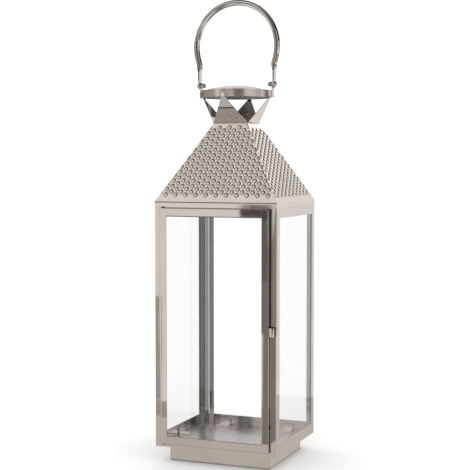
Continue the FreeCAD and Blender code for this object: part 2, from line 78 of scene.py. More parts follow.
BODY_HALF_WIDTH = reach("post_front_right", 0)
BODY_HALF_DEPTH = reach("post_back_right", 1)
PLINTH_HALF_WIDTH = reach("plinth_right", 0)
PLINTH_HALF_DEPTH = reach("plinth_back", 1)
DOOR_HALF_WIDTH = reach("door_stile_right", 0)
DOOR_FRONT = reach("door_stile_right", 1)
DOOR_TOP = reach("door_stile_right", 2)
DOOR_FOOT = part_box("door_stile_right")[0][2] / MM
PIVOT_Z = next(joint["pos_m"][2] for joint in BEHAVIOUR["joints"]
               if joint["name"] == "handle_swing") / MM
FASCIA = 9.0               # height of the folded-down lip of a roof sheet
ROOF_TOP = (30.0, 26.85)   # half sizes of the roof's upper edge along X and Y


# ---------------------------------------------------------------- materials

def new_material(name):
    """An empty node material and its Principled shader."""
    material = bpy.data.materials.new(name)
    material.use_nodes = True
    tree = material.node_tree
    tree.nodes.clear()
    output = tree.nodes.new("ShaderNodeOutputMaterial")
    shader = tree.nodes.new("ShaderNodeBsdfPrincipled")
    tree.links.new(shader.outputs["BSDF"], output.inputs["Surface"])
    return material, tree, shader


def noise(tree, scale, stretch, detail, distortion=0.0):
    """A noise texture over the piece's own coordinates; its value socket."""
    place = tree.nodes.new("ShaderNodeTexCoord")
    stretched = tree.nodes.new("ShaderNodeMapping")
    stretched.inputs["Scale"].default_value = stretch
    texture = tree.nodes.new("ShaderNodeTexNoise")
    texture.inputs["Scale"].default_value = scale
    texture.inputs["Detail"].default_value = detail
    texture.inputs["Distortion"].default_value = distortion
    tree.links.new(place.outputs["Object"], stretched.inputs["Vector"])
    tree.links.new(stretched.outputs["Vector"], texture.inputs["Vector"])
    return texture.outputs["Fac"]


def spread(tree, value, low, high, to_low, to_high):
    """The value, taken from the range low..high to another range."""
    node = tree.nodes.new("ShaderNodeMapRange")
    node.inputs["From Min"].default_value = low
    node.inputs["From Max"].default_value = high
    node.inputs["To Min"].default_value = to_low
    node.inputs["To Max"].default_value = to_high
    tree.links.new(value, node.inputs["Value"])
    return node.outputs["Result"]


def arithmetic(tree, operation, first, second):
    """The result of an operation on a value and another value or a plain number."""
    node = tree.nodes.new("ShaderNodeMath")
    node.operation = operation
    tree.links.new(first, node.inputs[0])
    if isinstance(second, float):
        node.inputs[1].default_value = second
    else:
        tree.links.new(second, node.inputs[1])
    return node.outputs["Value"]


def bumped(tree, height, strength, distance, below=None):
    """A surface normal with this relief, laid over the relief below it."""
    node = tree.nodes.new("ShaderNodeBump")
    node.inputs["Strength"].default_value = strength
    node.inputs["Distance"].default_value = distance
    tree.links.new(height, node.inputs["Height"])
    if below is not None:
        tree.links.new(below, node.inputs["Normal"])
    return node.outputs["Normal"]


def tinted(tree, value, colours):
    """A colour that follows the value through the (position, colour) stops."""
    ramp = tree.nodes.new("ShaderNodeValToRGB")
    elements = ramp.color_ramp.elements
    while len(elements) < len(colours):
        elements.new(0.5)
    for element, (position, colour) in zip(elements, colours):
        element.position = position
        element.color = (*colour, 1.0)
    tree.links.new(value, ramp.inputs["Fac"])
    return ramp.outputs["Color"]


def scaled(colour, factor):
    """The colour, lighter or darker by a factor."""
    return tuple(channel * factor for channel in colour)


# The colour sockets of a Mix node
MIX_COLOUR_A, MIX_COLOUR_B, MIX_COLOUR_RESULT = 6, 7, 2

CREASE_REACH = 0.0040      # in metres, how far from a crease its painted shade reaches
CREASE_OPENNESS = (0.48, 0.92)         # occlusion that gets the full painted shade, and none of it
CREASE_DARKNESS = 0.12                 # share of the colour that the painted shade leaves in a crease
CREASE_SAMPLES = 8
INSIDE_DEPTH = 0.7         # in mm below the outer faces, where the inner faces begin
INSIDE_HALF_SIZE = (("X", (BODY_HALF_WIDTH - INSIDE_DEPTH) * MM),
                    ("Y", (BODY_HALF_DEPTH - INSIDE_DEPTH) * MM))
INSIDE_HEIGHT = (0.0260, 0.4160)       # in metres, from above the plinth to under the eave


def shade_free_inside(tree):
    """1 on the inner faces, which the panes lie against and which get no painted shade, and 0
    outside.
    """
    place = tree.nodes.new("ShaderNodeTexCoord")
    split = tree.nodes.new("ShaderNodeSeparateXYZ")
    tree.links.new(place.outputs["Object"], split.inputs["Vector"])
    inside = []
    for axis, limit in INSIDE_HALF_SIZE:
        level = tree.nodes.new("ShaderNodeMath")
        level.operation = "ABSOLUTE"
        tree.links.new(split.outputs[axis], level.inputs[0])
        inside.append(arithmetic(tree, "LESS_THAN", level.outputs["Value"], limit))
    low, high = INSIDE_HEIGHT
    below_eave = arithmetic(tree, "LESS_THAN", split.outputs["Z"], high)
    above_plinth = arithmetic(tree, "GREATER_THAN", split.outputs["Z"], low)
    return arithmetic(tree, "MULTIPLY", arithmetic(tree, "MULTIPLY", *inside),
                      arithmetic(tree, "MULTIPLY", below_eave, above_plinth))


def crease_shaded(tree, unshaded, dark):
    """The unshaded colour, with painted shade outdoors where another surface is very near."""
    # Painted shade: the colour goes darker where the occlusion finds a near surface
    crease = tree.nodes.new("ShaderNodeAmbientOcclusion")
    crease.samples = CREASE_SAMPLES
    crease.inputs["Distance"].default_value = CREASE_REACH
    shaded = tree.nodes.new("ShaderNodeMix")
    shaded.data_type = "RGBA"
    open_air = spread(tree, crease.outputs["AO"], *CREASE_OPENNESS, 0.0, 1.0)
    tree.links.new(arithmetic(tree, "MAXIMUM", open_air, shade_free_inside(tree)),
                   shaded.inputs["Factor"])
    shaded.inputs[MIX_COLOUR_A].default_value = (*dark, 1.0)
    tree.links.new(unshaded, shaded.inputs[MIX_COLOUR_B])
    return shaded.outputs[MIX_COLOUR_RESULT]


# How the grain is stretched: a small factor makes long lines that way
ALONG_X = (0.02, 1.0, 1.0)
ALONG_Y = (1.0, 0.02, 1.0)
ALONG_Z = (1.0, 1.0, 0.02)
ROUND_AXIS = (0.03, 0.03, 1.0)
EVEN = (1.0, 1.0, 1.0)

# Noise scales of the sheet's detail, per metre, and the depth of its relief, in metres
HAIRLINES, HAIRLINE_DEPTH = 2600.0, 0.000004
SCRATCHES, SCRATCH_DEPTH = 420.0, 0.00001
WAVES, WAVE_DEPTH = 11.0, 0.00020
HAZE = 16.0
FINE_STRENGTH = 0.05
HAZE_TINTS = ((0.30, 0.94), (0.68, 1.03))        # haze, and the steel's brightness there
HAIRLINE_RANGE = (0.3, 0.7)
HAIRLINE_ROUGHNESS = (0.7, 1.3)                  # shares of the roughness
HAZE_RANGE = (0.5, 0.75)
HAZE_ROUGHNESS = 0.6                             # what the thickest haze adds


def steel(name, colour, roughness, grain, waviness=0.5, crease_shade=True):
    """Polished stainless sheet: hairlines along the grain, handling haze,
    fine scratches and the slight waviness of thin sheet. Flat sheets also
    have a painted line of shade along each crease."""
    material, tree, shader = new_material(name)
    hairlines = noise(tree, HAIRLINES, grain, detail=2.0)
    haze = noise(tree, HAZE, EVEN, detail=4.0, distortion=0.6)
    scratches = noise(tree, SCRATCHES, grain, detail=5.0, distortion=0.3)
    waves = noise(tree, WAVES, EVEN, detail=1.0)
    shader.inputs["Metallic"].default_value = 1.0
    unshaded = tinted(tree, haze, [(value, scaled(colour, share)) for value, share in HAZE_TINTS])
    # Painted shade: occlusion darkens the colour at each crease and gap
    if crease_shade:
        unshaded = crease_shaded(tree, unshaded, scaled(colour, CREASE_DARKNESS))
    tree.links.new(unshaded, shader.inputs["Base Color"])
    smoothest, roughest = (roughness * share for share in HAIRLINE_ROUGHNESS)
    lines = spread(tree, hairlines, *HAIRLINE_RANGE, smoothest, roughest)
    cloud = spread(tree, haze, *HAZE_RANGE, 0.0, roughness * HAZE_ROUGHNESS)
    tree.links.new(arithmetic(tree, "ADD", lines, cloud), shader.inputs["Roughness"])
    wavy = bumped(tree, waves, 1.0, WAVE_DEPTH * waviness)
    scratched = bumped(tree, scratches, FINE_STRENGTH, SCRATCH_DEPTH, wavy)
    tree.links.new(bumped(tree, hairlines, FINE_STRENGTH, HAIRLINE_DEPTH, scratched),
                   shader.inputs["Normal"])
    return material


DUST = 34.0                # noise scale of the dust on the glass
CLEAN_GLASS = (1.0, 1.0, 1.0)
DUSTY_GLASS = (0.990, 0.995, 0.995)
DUST_TINTS = ((0.35, CLEAN_GLASS), (0.75, DUSTY_GLASS))
DUST_RANGE = (0.5, 0.85)
DUST_ROUGHNESS = 0.012
GLASS_IOR = 1.45


def clear_glass(name):
    """Float glass with a very faint green cast and a little dust."""
    material, tree, shader = new_material(name)
    shader.inputs["Transmission Weight"].default_value = 1.0
    shader.inputs["IOR"].default_value = GLASS_IOR
    dust = noise(tree, DUST, EVEN, detail=5.0)
    tree.links.new(tinted(tree, dust, DUST_TINTS), shader.inputs["Base Color"])
    tree.links.new(spread(tree, dust, *DUST_RANGE, 0.0, DUST_ROUGHNESS),
                   shader.inputs["Roughness"])
    return material


WARM = (0.640, 0.596, 0.560)
FRAME_UPRIGHT = steel("frame_steel_upright", WARM, 0.035, ALONG_Z)
FRAME_ACROSS = steel("frame_steel_across", WARM, 0.035, ALONG_X)
FRAME_DEEP = steel("frame_steel_deep", WARM, 0.035, ALONG_Y)
DOOR_UPRIGHT = steel("door_steel_upright", WARM, 0.030, ALONG_Z)
DOOR_ACROSS = steel("door_steel_across", WARM, 0.030, ALONG_X)
PLINTH = steel("plinth_steel_finish", WARM, 0.05, ALONG_X)
FLOOR_SHEET = steel("floor_steel_finish", (0.46, 0.455, 0.455), 0.25, ALONG_X,
                    waviness=0.2, crease_shade=False)
EMBOSSED = steel("embossed_steel_finish", (0.68, 0.635, 0.595), 0.06, EVEN,
                 waviness=0.1, crease_shade=False)
CROWN = steel("crown_steel_finish", WARM, 0.012, ALONG_Z, waviness=0.1)
CAP = steel("cap_steel_finish", (0.62, 0.58, 0.545), 0.24, ROUND_AXIS,
            waviness=0.1, crease_shade=False)
HANDLE = steel("handle_steel_finish", (0.65, 0.61, 0.575), 0.05, ALONG_Z,
               waviness=0.1, crease_shade=False)
FASTENER = steel("fastener_steel_finish", (0.66, 0.63, 0.60), 0.09, EVEN, waviness=0.1)
GLASS = clear_glass("glass_finish")

BY_SLOT = {
    "frame_steel": FRAME_ACROSS, "door_steel": DOOR_ACROSS, "plinth_steel": PLINTH,
    "floor_steel": FLOOR_SHEET, "embossed_steel": EMBOSSED, "crown_steel": CROWN,
    "cap_steel": CAP, "handle_steel": HANDLE, "fastener_steel": FASTENER, "glass": GLASS}

# Pieces whose grain runs another way than the rest of their slot
BY_NODE = {
    "bottom_rail_left": FRAME_DEEP, "bottom_rail_right": FRAME_DEEP,
    "top_rail_left": FRAME_DEEP, "top_rail_right": FRAME_DEEP,
    "post_front_left": FRAME_UPRIGHT, "post_front_right": FRAME_UPRIGHT,
    "post_back_left": FRAME_UPRIGHT, "post_back_right": FRAME_UPRIGHT,
    "door_stile_left": DOOR_UPRIGHT, "door_stile_right": DOOR_UPRIGHT,
    "door_pull": DOOR_UPRIGHT, "glass_angle": FRAME_UPRIGHT}

SLOT_OF = {name: node.material_slots[0].material.name for name, node in NODES.items()}
BODY_OF = {node: body for body, members in BEHAVIOUR["bodies"].items() for node in members}


def finish_of(node):
    """The material of a piece that stands for this CAD node."""
    return BY_NODE.get(node) or BY_SLOT[SLOT_OF[node]]


for node_name, node in NODES.items():
    for material_slot in node.material_slots:
        material_slot.material = finish_of(node_name)


# ---------------------------------------------------------------- making pieces

def placed(name, mesh):
    """A new object with this mesh, in the scene."""
    item = bpy.data.objects.new(name, mesh)
    scene.collection.objects.link(item)
    return item


def baked(item):
    """The item's mesh with its modifiers applied. The item itself is removed."""
    evaluated = item.evaluated_get(bpy.context.evaluated_depsgraph_get())
    mesh = bpy.data.meshes.new_from_object(evaluated)
    bpy.data.objects.remove(item)
    return mesh


def shell(name, points, polygons):
    """A smooth mesh from points and polygons, with its outer side out."""
    mesh = bpy.data.meshes.new(name)
    mesh.from_pydata([tuple(point) for point in points], [], polygons)
    mesh.update()
    work = bmesh.new()
    work.from_mesh(mesh)
    bmesh.ops.recalc_face_normals(work, faces=work.faces)
    for face in work.faces:
        face.smooth = True
    work.to_mesh(mesh)
    work.free()
    return mesh


def stand_in(node, suffix, mesh):
    """A piece with this mesh and the node's finish, in the place of the CAD node."""
    mesh.materials.clear()
    mesh.materials.append(finish_of(node))
    piece = placed(node + suffix, mesh)
    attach(piece, BODY_OF[node])
    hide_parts(node)


# ---------------------------------------------------------------- folded sheets with soft edges

OUTER_FOLD = 0.9           # radius of the lantern's outer folds, in mm
DOOR_FOLD = 0.4
SHEET_EDGE = 0.28          # radius of every other edge
SAME_PLACE = 0.05          # a point this near to a fold line lies on it
WELD_DISTANCE = 0.002      # points of the CAD mesh this near are the same point
FLAT_ANGLE = radians(0.6)  # faces that meet at less than this are one face
EDGE_ANGLE = radians(28)   # and at more than this, their edge is rounded


def on_fold(node, edge):
    """Whether an edge of the sheet is one of the outer folds of the lantern."""
    points = [vertex.co for vertex in edge.verts]

    def all_at(axis, distance):
        return all(abs(abs(point[axis]) / MM - distance) < SAME_PLACE for point in points)

    if node.startswith(("post_", "bottom_rail_", "top_rail_")):
        return all_at(0, BODY_HALF_WIDTH) and all_at(1, BODY_HALF_DEPTH)
    if node.startswith("door_"):
        return all_at(1, DOOR_FRONT) and (
            all_at(0, DOOR_HALF_WIDTH) or all_at(2, DOOR_FOOT) or all_at(2, DOOR_TOP))
    if node.startswith("plinth_"):
        return all_at(0, PLINTH_HALF_WIDTH) and all_at(1, PLINTH_HALF_DEPTH)
    return False


def softened(node):
    """The CAD sheet with the small radius that a folded or ground edge has."""
    mesh = NODES[node].data.copy()
    work = bmesh.new()
    work.from_mesh(mesh)
    bmesh.ops.remove_doubles(work, verts=work.verts, dist=WELD_DISTANCE * MM)
    bmesh.ops.dissolve_limit(work, angle_limit=FLAT_ANGLE, verts=work.verts, edges=work.edges)
    folds = [edge for edge in work.edges if on_fold(node, edge)]
    if folds:
        fold = DOOR_FOLD if node.startswith("door_") else OUTER_FOLD
        bmesh.ops.bevel(work, geom=folds, offset=fold * MM, segments=5, profile=0.5,
                        affect="EDGES", clamp_overlap=True)
    sharp = [edge for edge in work.edges
             if len(edge.link_faces) == 2 and edge.calc_face_angle(0.0) > EDGE_ANGLE]
    bmesh.ops.bevel(work, geom=sharp, offset=SHEET_EDGE * MM, segments=2, profile=0.5,
                    affect="EDGES", clamp_overlap=True)
    for face in work.faces:
        face.smooth = True
    work.to_mesh(mesh)
    work.free()
    rough = placed(node + "_rough", mesh)
    weighted = rough.modifiers.new("weighted", "WEIGHTED_NORMAL")
    weighted.weight = 100
    stand_in(node, "_sheet", baked(rough))


# ---------------------------------------------------------------- glass panes

PANE_PLAY = 0.15           # in mm, between the glass and the sheet that it lies against
PANE_SIDE_PLAY = 0.3       # round the edge of the pane
GROUND_EDGE = 0.35         # width of the ground bevel


def pane(node):
    """A cut pane with ground edges, loose by a hair in its frame as a real one is."""
    low, high = (Vector(corner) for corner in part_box(node))
    size = high - low
    thin = min(range(3), key=lambda axis: size[axis])
    play = Vector((PANE_SIDE_PLAY * MM,) * 3)
    play[thin] = PANE_PLAY * MM
    low, high = low + play, high - play
    mesh = bpy.data.meshes.new(node + "_pane")
    work = bmesh.new()
    bmesh.ops.create_cube(work, size=1.0)
    for vertex in work.verts:
        for axis in range(3):
            vertex.co[axis] = high[axis] if vertex.co[axis] > 0 else low[axis]
    bmesh.ops.bevel(work, geom=work.edges[:], offset=GROUND_EDGE * MM, segments=2,
                    profile=0.5, affect="EDGES", clamp_overlap=True)
    work.to_mesh(mesh)
    work.free()
    stand_in(node, "_pane", mesh)


for node_name in ("glass_left", "glass_right", "glass_back", "door_glass"):
    pane(node_name)

FOLDED = ("post_", "bottom_rail_", "top_rail_", "door_stile_", "door_rail_", "plinth_",
          "crown_", "ear_", "glass_angle")
for node_name in NODES:
    if node_name.startswith(FOLDED):
        softened(node_name)


# ---------------------------------------------------------------- embossed roof

# All in mm
ROW_PITCH = 5.1            # between rows of bumps, up the slope
ROW_COUNT = 25
BUMP_PITCH = 17.6          # along a row; the next row is half a pitch on
BUMP_RADIUS = 4.3
BUMP_HEIGHT = 1.25
BUMP_RIM = 0.55            # share of the radius over which a bump rises
CREST = 0.15               # share of a bump's height that its whole radius crowns
FIRST_ROW = 12.4           # up the slope from the eave fold
HIP_SLANT = 0.9            # distance to the hip, as a share of that along the row
HIP_MARGIN = 0.4           # plain strip beside the hips, and the width over which
HIP_FADE = 2.8             # the bumps then rise to their full height
HIP_GAP = 0.12             # between a sheet and the hip plane that it stops at
SHEET_THICKNESS = 1.0
FOLD_RADIUS = 1.2          # of the eave fold
PANEL_SHARP = radians(50)  # an edge with a greater angle is shaded as a sharp one
BELOW_SLOPE = -1.0         # stands for the way up the slope on the lip and the fold
LIP_STEPS, FOLD_STEPS, SLOPE_STEPS, COLUMNS = 4, 5, 176, 250


def smooth_step(value):
    """0 up to 0, 1 from 1 on, and an even curve between them."""
    value = min(1.0, max(0.0, value))
    return value * value * (3.0 - 2.0 * value)


def bump_height(along, up):
    """Height of the pressed pattern at a point of the slope, in mm."""
    row = round((up - FIRST_ROW) / ROW_PITCH)
    best = 0.0
    for candidate in (row - 1, row, row + 1):
        if not 0 <= candidate < ROW_COUNT:
            continue
        centre_up = FIRST_ROW + candidate * ROW_PITCH
        offset = 0.5 * BUMP_PITCH * (candidate % 2)
        centre_along = offset + BUMP_PITCH * floor((along - offset) / BUMP_PITCH + 0.5)
        distance = hypot(along - centre_along, up - centre_up) / BUMP_RADIUS
        if distance < 1.0:
            rise = smooth_step((1.0 - distance) / BUMP_RIM)
            crown = 1.0 - distance * distance
            best = max(best, BUMP_HEIGHT * ((1.0 - CREST) * rise + CREST * crown))
    return best


def panel_profile(lip_foot, top, out_eave, out_top):
    """The sheet's section, from its fascia lip over the eave fold to its upper edge,
    as points (outward, height, normal outward, normal up, way up the slope)."""
    eave = lip_foot + FASCIA
    run, rise = out_eave - out_top, top - eave
    slope_length = hypot(run, rise)
    slope_out, slope_up = run / slope_length, rise / slope_length
    bend = pi / 2 - atan2(slope_up, slope_out)
    cut = FOLD_RADIUS * tan(bend / 2)
    profile = []
    for step in range(LIP_STEPS):
        height = lip_foot + step * (FASCIA - FOLD_RADIUS) / LIP_STEPS
        profile.append((out_eave, height, 1.0, 0.0, BELOW_SLOPE))
    for step in range(FOLD_STEPS + 1):
        angle = bend * step / FOLD_STEPS
        profile.append((out_eave - FOLD_RADIUS + FOLD_RADIUS * cos(angle),
                        eave - cut + FOLD_RADIUS * sin(angle),
                        cos(angle), sin(angle), BELOW_SLOPE))
    for step in range(1, SLOPE_STEPS + 1):
        up = cut + (slope_length - cut) * step / SLOPE_STEPS
        profile.append((out_eave - slope_out * up, eave + slope_up * up,
                        slope_up, slope_out, up))
    return profile


def sheet_polygons(rows, width):
    """The faces of a sheet whose points are an outer grid and then an inner one."""
    layer = rows * width
    last = width - 1
    polygons = []
    for row in range(rows - 1):
        for column in range(last):
            corner = row * width + column
            quad = (corner, corner + 1, corner + 1 + width, corner + width)
            polygons.append(quad)
            polygons.append(tuple(index + layer for index in reversed(quad)))
    rim = (list(range(width))
           + [row * width + last for row in range(1, rows)]
           + [(rows - 1) * width + column for column in range(last - 1, -1, -1)]
           + [row * width for row in range(rows - 2, 0, -1)])
    for here, after in zip(rim, rim[1:] + rim[:1]):
        polygons.append((after, here, here + layer, after + layer))
    return polygons


def embossed_panel(node, outwards):
    """One pressed roof sheet, made from the corners of the CAD sheet that it replaces."""
    out_axis, along_axis = (1, 0) if abs(outwards.y) > 0.5 else (0, 1)
    sideways = Vector((0, 0, 0))
    sideways[along_axis] = 1
    upright = Vector((0, 0, 1))
    low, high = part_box(node)
    out_eave, half_eave = reach(node, out_axis), reach(node, along_axis)
    out_top, half_top = ROOF_TOP[out_axis], ROOF_TOP[along_axis]
    profile = panel_profile(low.z / MM, high.z / MM, out_eave, out_top)

    def half_width(outward):
        """Half of the sheet's width there, between the slanted hips."""
        along_hip = (outward - out_top) * (half_eave - half_top) / (out_eave - out_top)
        return half_top + along_hip - HIP_GAP

    points = []
    for depth in (0.0, SHEET_THICKNESS):
        for outward, height, normal_out, normal_up, up in profile:
            outer_half = min(half_width(outward), half_eave - HIP_GAP)
            half = min(outer_half, half_width(outward - normal_out * depth))
            for column in range(COLUMNS + 1):
                share = 2.0 * column / COLUMNS - 1.0
                lift = -depth
                if up > BELOW_SLOPE:
                    along = share * outer_half
                    to_hip = (outer_half - abs(along)) * HIP_SLANT
                    fade = smooth_step((to_hip - HIP_MARGIN) / HIP_FADE)
                    lift = bump_height(along, up) * fade - depth
                points.append((sideways * (share * half)
                               + outwards * (outward + normal_out * lift)
                               + upright * (height + normal_up * lift)) * MM)
    mesh = shell(node + "_embossed", points, sheet_polygons(len(profile), COLUMNS + 1))
    mesh.set_sharp_from_angle(angle=PANEL_SHARP)
    stand_in(node, "_embossed", mesh)


for side, outwards in (("front", (0, -1, 0)), ("right", (1, 0, 0)),
                       ("back", (0, 1, 0)), ("left", (-1, 0, 0))):
    embossed_panel("roof_" + side, Vector(outwards))


# ---------------------------------------------------------------- handle

# Driving sizes of the CAD handle, in mm
FLAT_X = 66.0              # middle of the flattened ends
FLAT_HALF_WIDTH = 6.25
FLAT_HALF_THICKNESS = 1.2
BOLT_HOLE_RADIUS = 2.55
TUBE_RADIUS = 5.0
FLATTENING = 10.0          # length over which the tube turns into the flat end
ARCH_RADIUS = 71.0
ARCH_Z = 679.3
LEAN = radians(14.0)       # of the legs, inwards
LEG_BEND = 25.0            # radius of the bend that brings the legs upright again
FLAT_POWER = 9.0           # superellipse power of the flat ends' section
ROUND_POWER = 2.0          # and of the round tube
DRILL_LENGTH = 200.0       # goes through both ends at once
TUBE_SHARP = radians(40)
TIP_STEPS, FLAT_STEPS, NECK_STEPS, BEND_STEPS, LEG_STEPS, ARCH_STEPS = 14, 7, 16, 8, 9, 60
AROUND = 56


def handle_stations():
    """Half of the handle, from its right tip to the top, as stations
    (x, z, lean, (half width, half thickness, power of the section))."""
    arch_x, arch_z = ARCH_RADIUS * cos(LEAN), ARCH_Z - ARCH_RADIUS * sin(LEAN)
    bend_x = FLAT_X + LEG_BEND * (1 - cos(LEAN))
    leg = (arch_x - bend_x) / sin(LEAN)
    bend_z = arch_z - leg * cos(LEAN)
    foot_z = bend_z - LEG_BEND * sin(LEAN)
    flat_z = foot_z - FLATTENING
    flat = (FLAT_HALF_WIDTH, FLAT_HALF_THICKNESS, FLAT_POWER)
    tube = (TUBE_RADIUS, TUBE_RADIUS, ROUND_POWER)
    stations = []
    for step in range(1, TIP_STEPS + 1):
        turn = radians(90.0 * step / TIP_STEPS)
        stations.append((FLAT_X, PIVOT_Z - FLAT_HALF_WIDTH * cos(turn), 0.0,
                         (FLAT_HALF_WIDTH * sin(turn), FLAT_HALF_THICKNESS, FLAT_POWER)))
    for step in range(1, FLAT_STEPS + 1):
        stations.append((FLAT_X, PIVOT_Z + (flat_z - PIVOT_Z) * step / FLAT_STEPS, 0.0, flat))
    for step in range(1, NECK_STEPS + 1):
        share = step / NECK_STEPS
        swell = smooth_step(share)
        section = tuple(before + (after - before) * swell for before, after in zip(flat, tube))
        stations.append((FLAT_X, flat_z + FLATTENING * share, 0.0, section))
    for step in range(1, BEND_STEPS + 1):
        turn = LEAN * step / BEND_STEPS
        stations.append((FLAT_X + LEG_BEND * (1 - cos(turn)), foot_z + LEG_BEND * sin(turn),
                         turn, tube))
    for step in range(1, LEG_STEPS + 1):
        share = step / LEG_STEPS
        stations.append((bend_x + (arch_x - bend_x) * share, bend_z + (arch_z - bend_z) * share,
                         LEAN, tube))
    for step in range(1, ARCH_STEPS + 1):
        turn = -LEAN + (pi / 2 + LEAN) * step / ARCH_STEPS
        stations.append((ARCH_RADIUS * cos(turn), ARCH_Z + ARCH_RADIUS * sin(turn), -turn, tube))
    return stations


def section_ring(centre, outward, half_width, half_thickness, power):
    """The points of one superellipse section across the handle, in metres."""
    ring = []
    for step in range(AROUND):
        angle = 2 * pi * step / AROUND
        across, wide = cos(angle), sin(angle)
        size = (abs(across) ** power + abs(wide) ** power) ** (-1 / power)
        ring.append((centre + outward * (half_thickness * size * across)
                     + Vector((0, half_width * size * wide, 0))) * MM)
    return ring


def tube_polygons(ring_count):
    """The faces of a closed skin over rings of AROUND points each."""
    last = (ring_count - 1) * AROUND
    polygons = []
    for start in range(0, last, AROUND):
        for step in range(AROUND):
            here, follow = start + step, start + (step + 1) % AROUND
            polygons.append((here, follow, follow + AROUND, here + AROUND))
    polygons.append(tuple(range(AROUND)))
    polygons.append(tuple(range(last, last + AROUND)))
    return polygons


def bolt_drill():
    """A bar along both bolt holes, to be taken away from the handle."""
    mesh = bpy.data.meshes.new("bolt_drill")
    work = bmesh.new()
    bmesh.ops.create_cone(work, cap_ends=True, segments=48, radius1=BOLT_HOLE_RADIUS * MM,
                          radius2=BOLT_HOLE_RADIUS * MM, depth=DRILL_LENGTH * MM)
    bmesh.ops.rotate(work, verts=work.verts, matrix=Matrix.Rotation(pi / 2, 3, "Y"))
    bmesh.ops.translate(work, verts=work.verts, vec=(0, 0, PIVOT_Z * MM))
    work.to_mesh(mesh)
    work.free()
    return placed("bolt_drill", mesh)


def bent_tube(node):
    """The whole handle in one smooth skin, its ends pressed flat round the bolt holes."""
    right_half = handle_stations()
    left_half = right_half[-2::-1]
    rings = []
    for side, stations in ((1, right_half), (-1, left_half)):
        for x, z, turn, section in stations:
            outward = Vector((side * cos(turn), 0, -sin(turn)))
            rings.append(section_ring(Vector((side * x, 0, z)), outward, *section))
    points = [point for ring in rings for point in ring]
    whole = placed(node + "_whole", shell(node + "_skin", points, tube_polygons(len(rings))))
    drill = bolt_drill()
    holes = whole.modifiers.new("holes", "BOOLEAN")
    holes.operation = "DIFFERENCE"
    holes.solver = "EXACT"
    holes.object = drill
    mesh = baked(whole)
    bpy.data.objects.remove(drill)
    mesh.set_sharp_from_angle(angle=TUBE_SHARP)
    stand_in(node, "_tube", mesh)


bent_tube("handle")


# ---------------------------------------------------------------- studio

# The polished steel mirrors a room of plain cards. All sizes here are in metres.
CARD_RADIUS = 1.6          # from the lantern's axis to a card that stands round it
FRONT_Y = -1.5             # of the cards ahead of the lantern
FRONT_GAP = 0.001          # between one such card and the one behind it
TABLE_LAYERS = (0.0006, 0.0010, 0.0012, 0.0016)  # heights of the cards on the table
CEILING = 2.0


def card(name, corners, colour, strength=1.0):
    """A plain reflector or flag that only mirror-like surfaces see."""
    mesh = bpy.data.meshes.new(name)
    mesh.from_pydata(corners, [], [tuple(range(len(corners)))])
    material = bpy.data.materials.new(name)
    material.use_nodes = True
    tree = material.node_tree
    tree.nodes.clear()
    output = tree.nodes.new("ShaderNodeOutputMaterial")
    glow = tree.nodes.new("ShaderNodeEmission")
    glow.inputs["Color"].default_value = (*colour, 1.0)
    glow.inputs["Strength"].default_value = strength
    tree.links.new(glow.outputs["Emission"], output.inputs["Surface"])
    mesh.materials.append(material)
    item = placed(name, mesh)
    item.visible_camera = False
    item.visible_diffuse = False
    item.visible_shadow = False
    item.visible_transmission = False
    item.visible_volume_scatter = False


def level_card(name, outline, height, colour):
    """A card that lies level at a height."""
    card(name, [(x, y, height) for x, y in outline], colour)


def front_card(name, outline, colour, layer=0):
    """A standing card ahead of the lantern, behind the layers with lower numbers."""
    card(name, [(x, FRONT_Y - layer * FRONT_GAP, z) for x, z in outline], colour)


def rectangle(left, right, low, high):
    """The corners of a rectangle."""
    return [(left, low), (right, low), (right, high), (left, high)]


def bearing_point(bearing, radius):
    """The place at a bearing in degrees, counted from the front (-Y) towards +X."""
    return radius * sin(radians(bearing)), -radius * cos(radians(bearing))


def round_card(name, from_bearing, to_bearing, low, high, colour, radius=CARD_RADIUS,
               strength=1.0):
    """A card that stands between two bearings round the lantern."""
    left, right = bearing_point(from_bearing, radius), bearing_point(to_bearing, radius)
    card(name, [(*left, low), (*right, low), (*right, high), (*left, high)], colour, strength)


PALE = (0.94, 0.92, 0.91)
BEIGE = (0.67, 0.64, 0.61)
MID = (0.45, 0.43, 0.41)
UMBER = (0.22, 0.20, 0.19)
SLATE = (0.16, 0.15, 0.14)
SOOT = (0.12, 0.11, 0.10)
BLACK = (0.10, 0.09, 0.085)

# The table round the lantern: pale far off, beige close by, with darker areas
WIDE_SQUARE = rectangle(-40, 40, -40, 40)
BEHIND = (176, 197, 218, 240)          # bearings over which the table is dark
DARK_NEAR, DARK_FAR = 1.2, 9.0         # and how far out it is
table_cards = (
    ("table_far", 0, PALE, WIDE_SQUARE),
    ("table_near", 1, BEIGE, rectangle(-0.55, 0.55, -0.55, 0.5)),
    ("table_flag", 3, (0.27, 0.25, 0.23), [(0.0167, -0.273), (0.030, -0.273), (0.036, -0.376),
                                           (0.22, -0.376), (-0.20, -1.5), (-0.448, -1.5)]),
    ("table_patch", 3, MID, [(-0.20, -0.406), (-0.30, -0.406), (-0.36, -0.542),
                             (-0.255, -0.542)]),
    ("table_strip", 3, MID, [(-0.312, -0.55), (-0.45, -0.55), (-0.95, -1.5), (-0.770, -1.5)]),
    ("table_back", 2, SLATE, [bearing_point(bearing, DARK_NEAR) for bearing in BEHIND]
     + [bearing_point(bearing, DARK_FAR) for bearing in reversed(BEHIND)]))
for name, layer, colour, outline in table_cards:
    level_card(name, outline, TABLE_LAYERS[layer], colour)

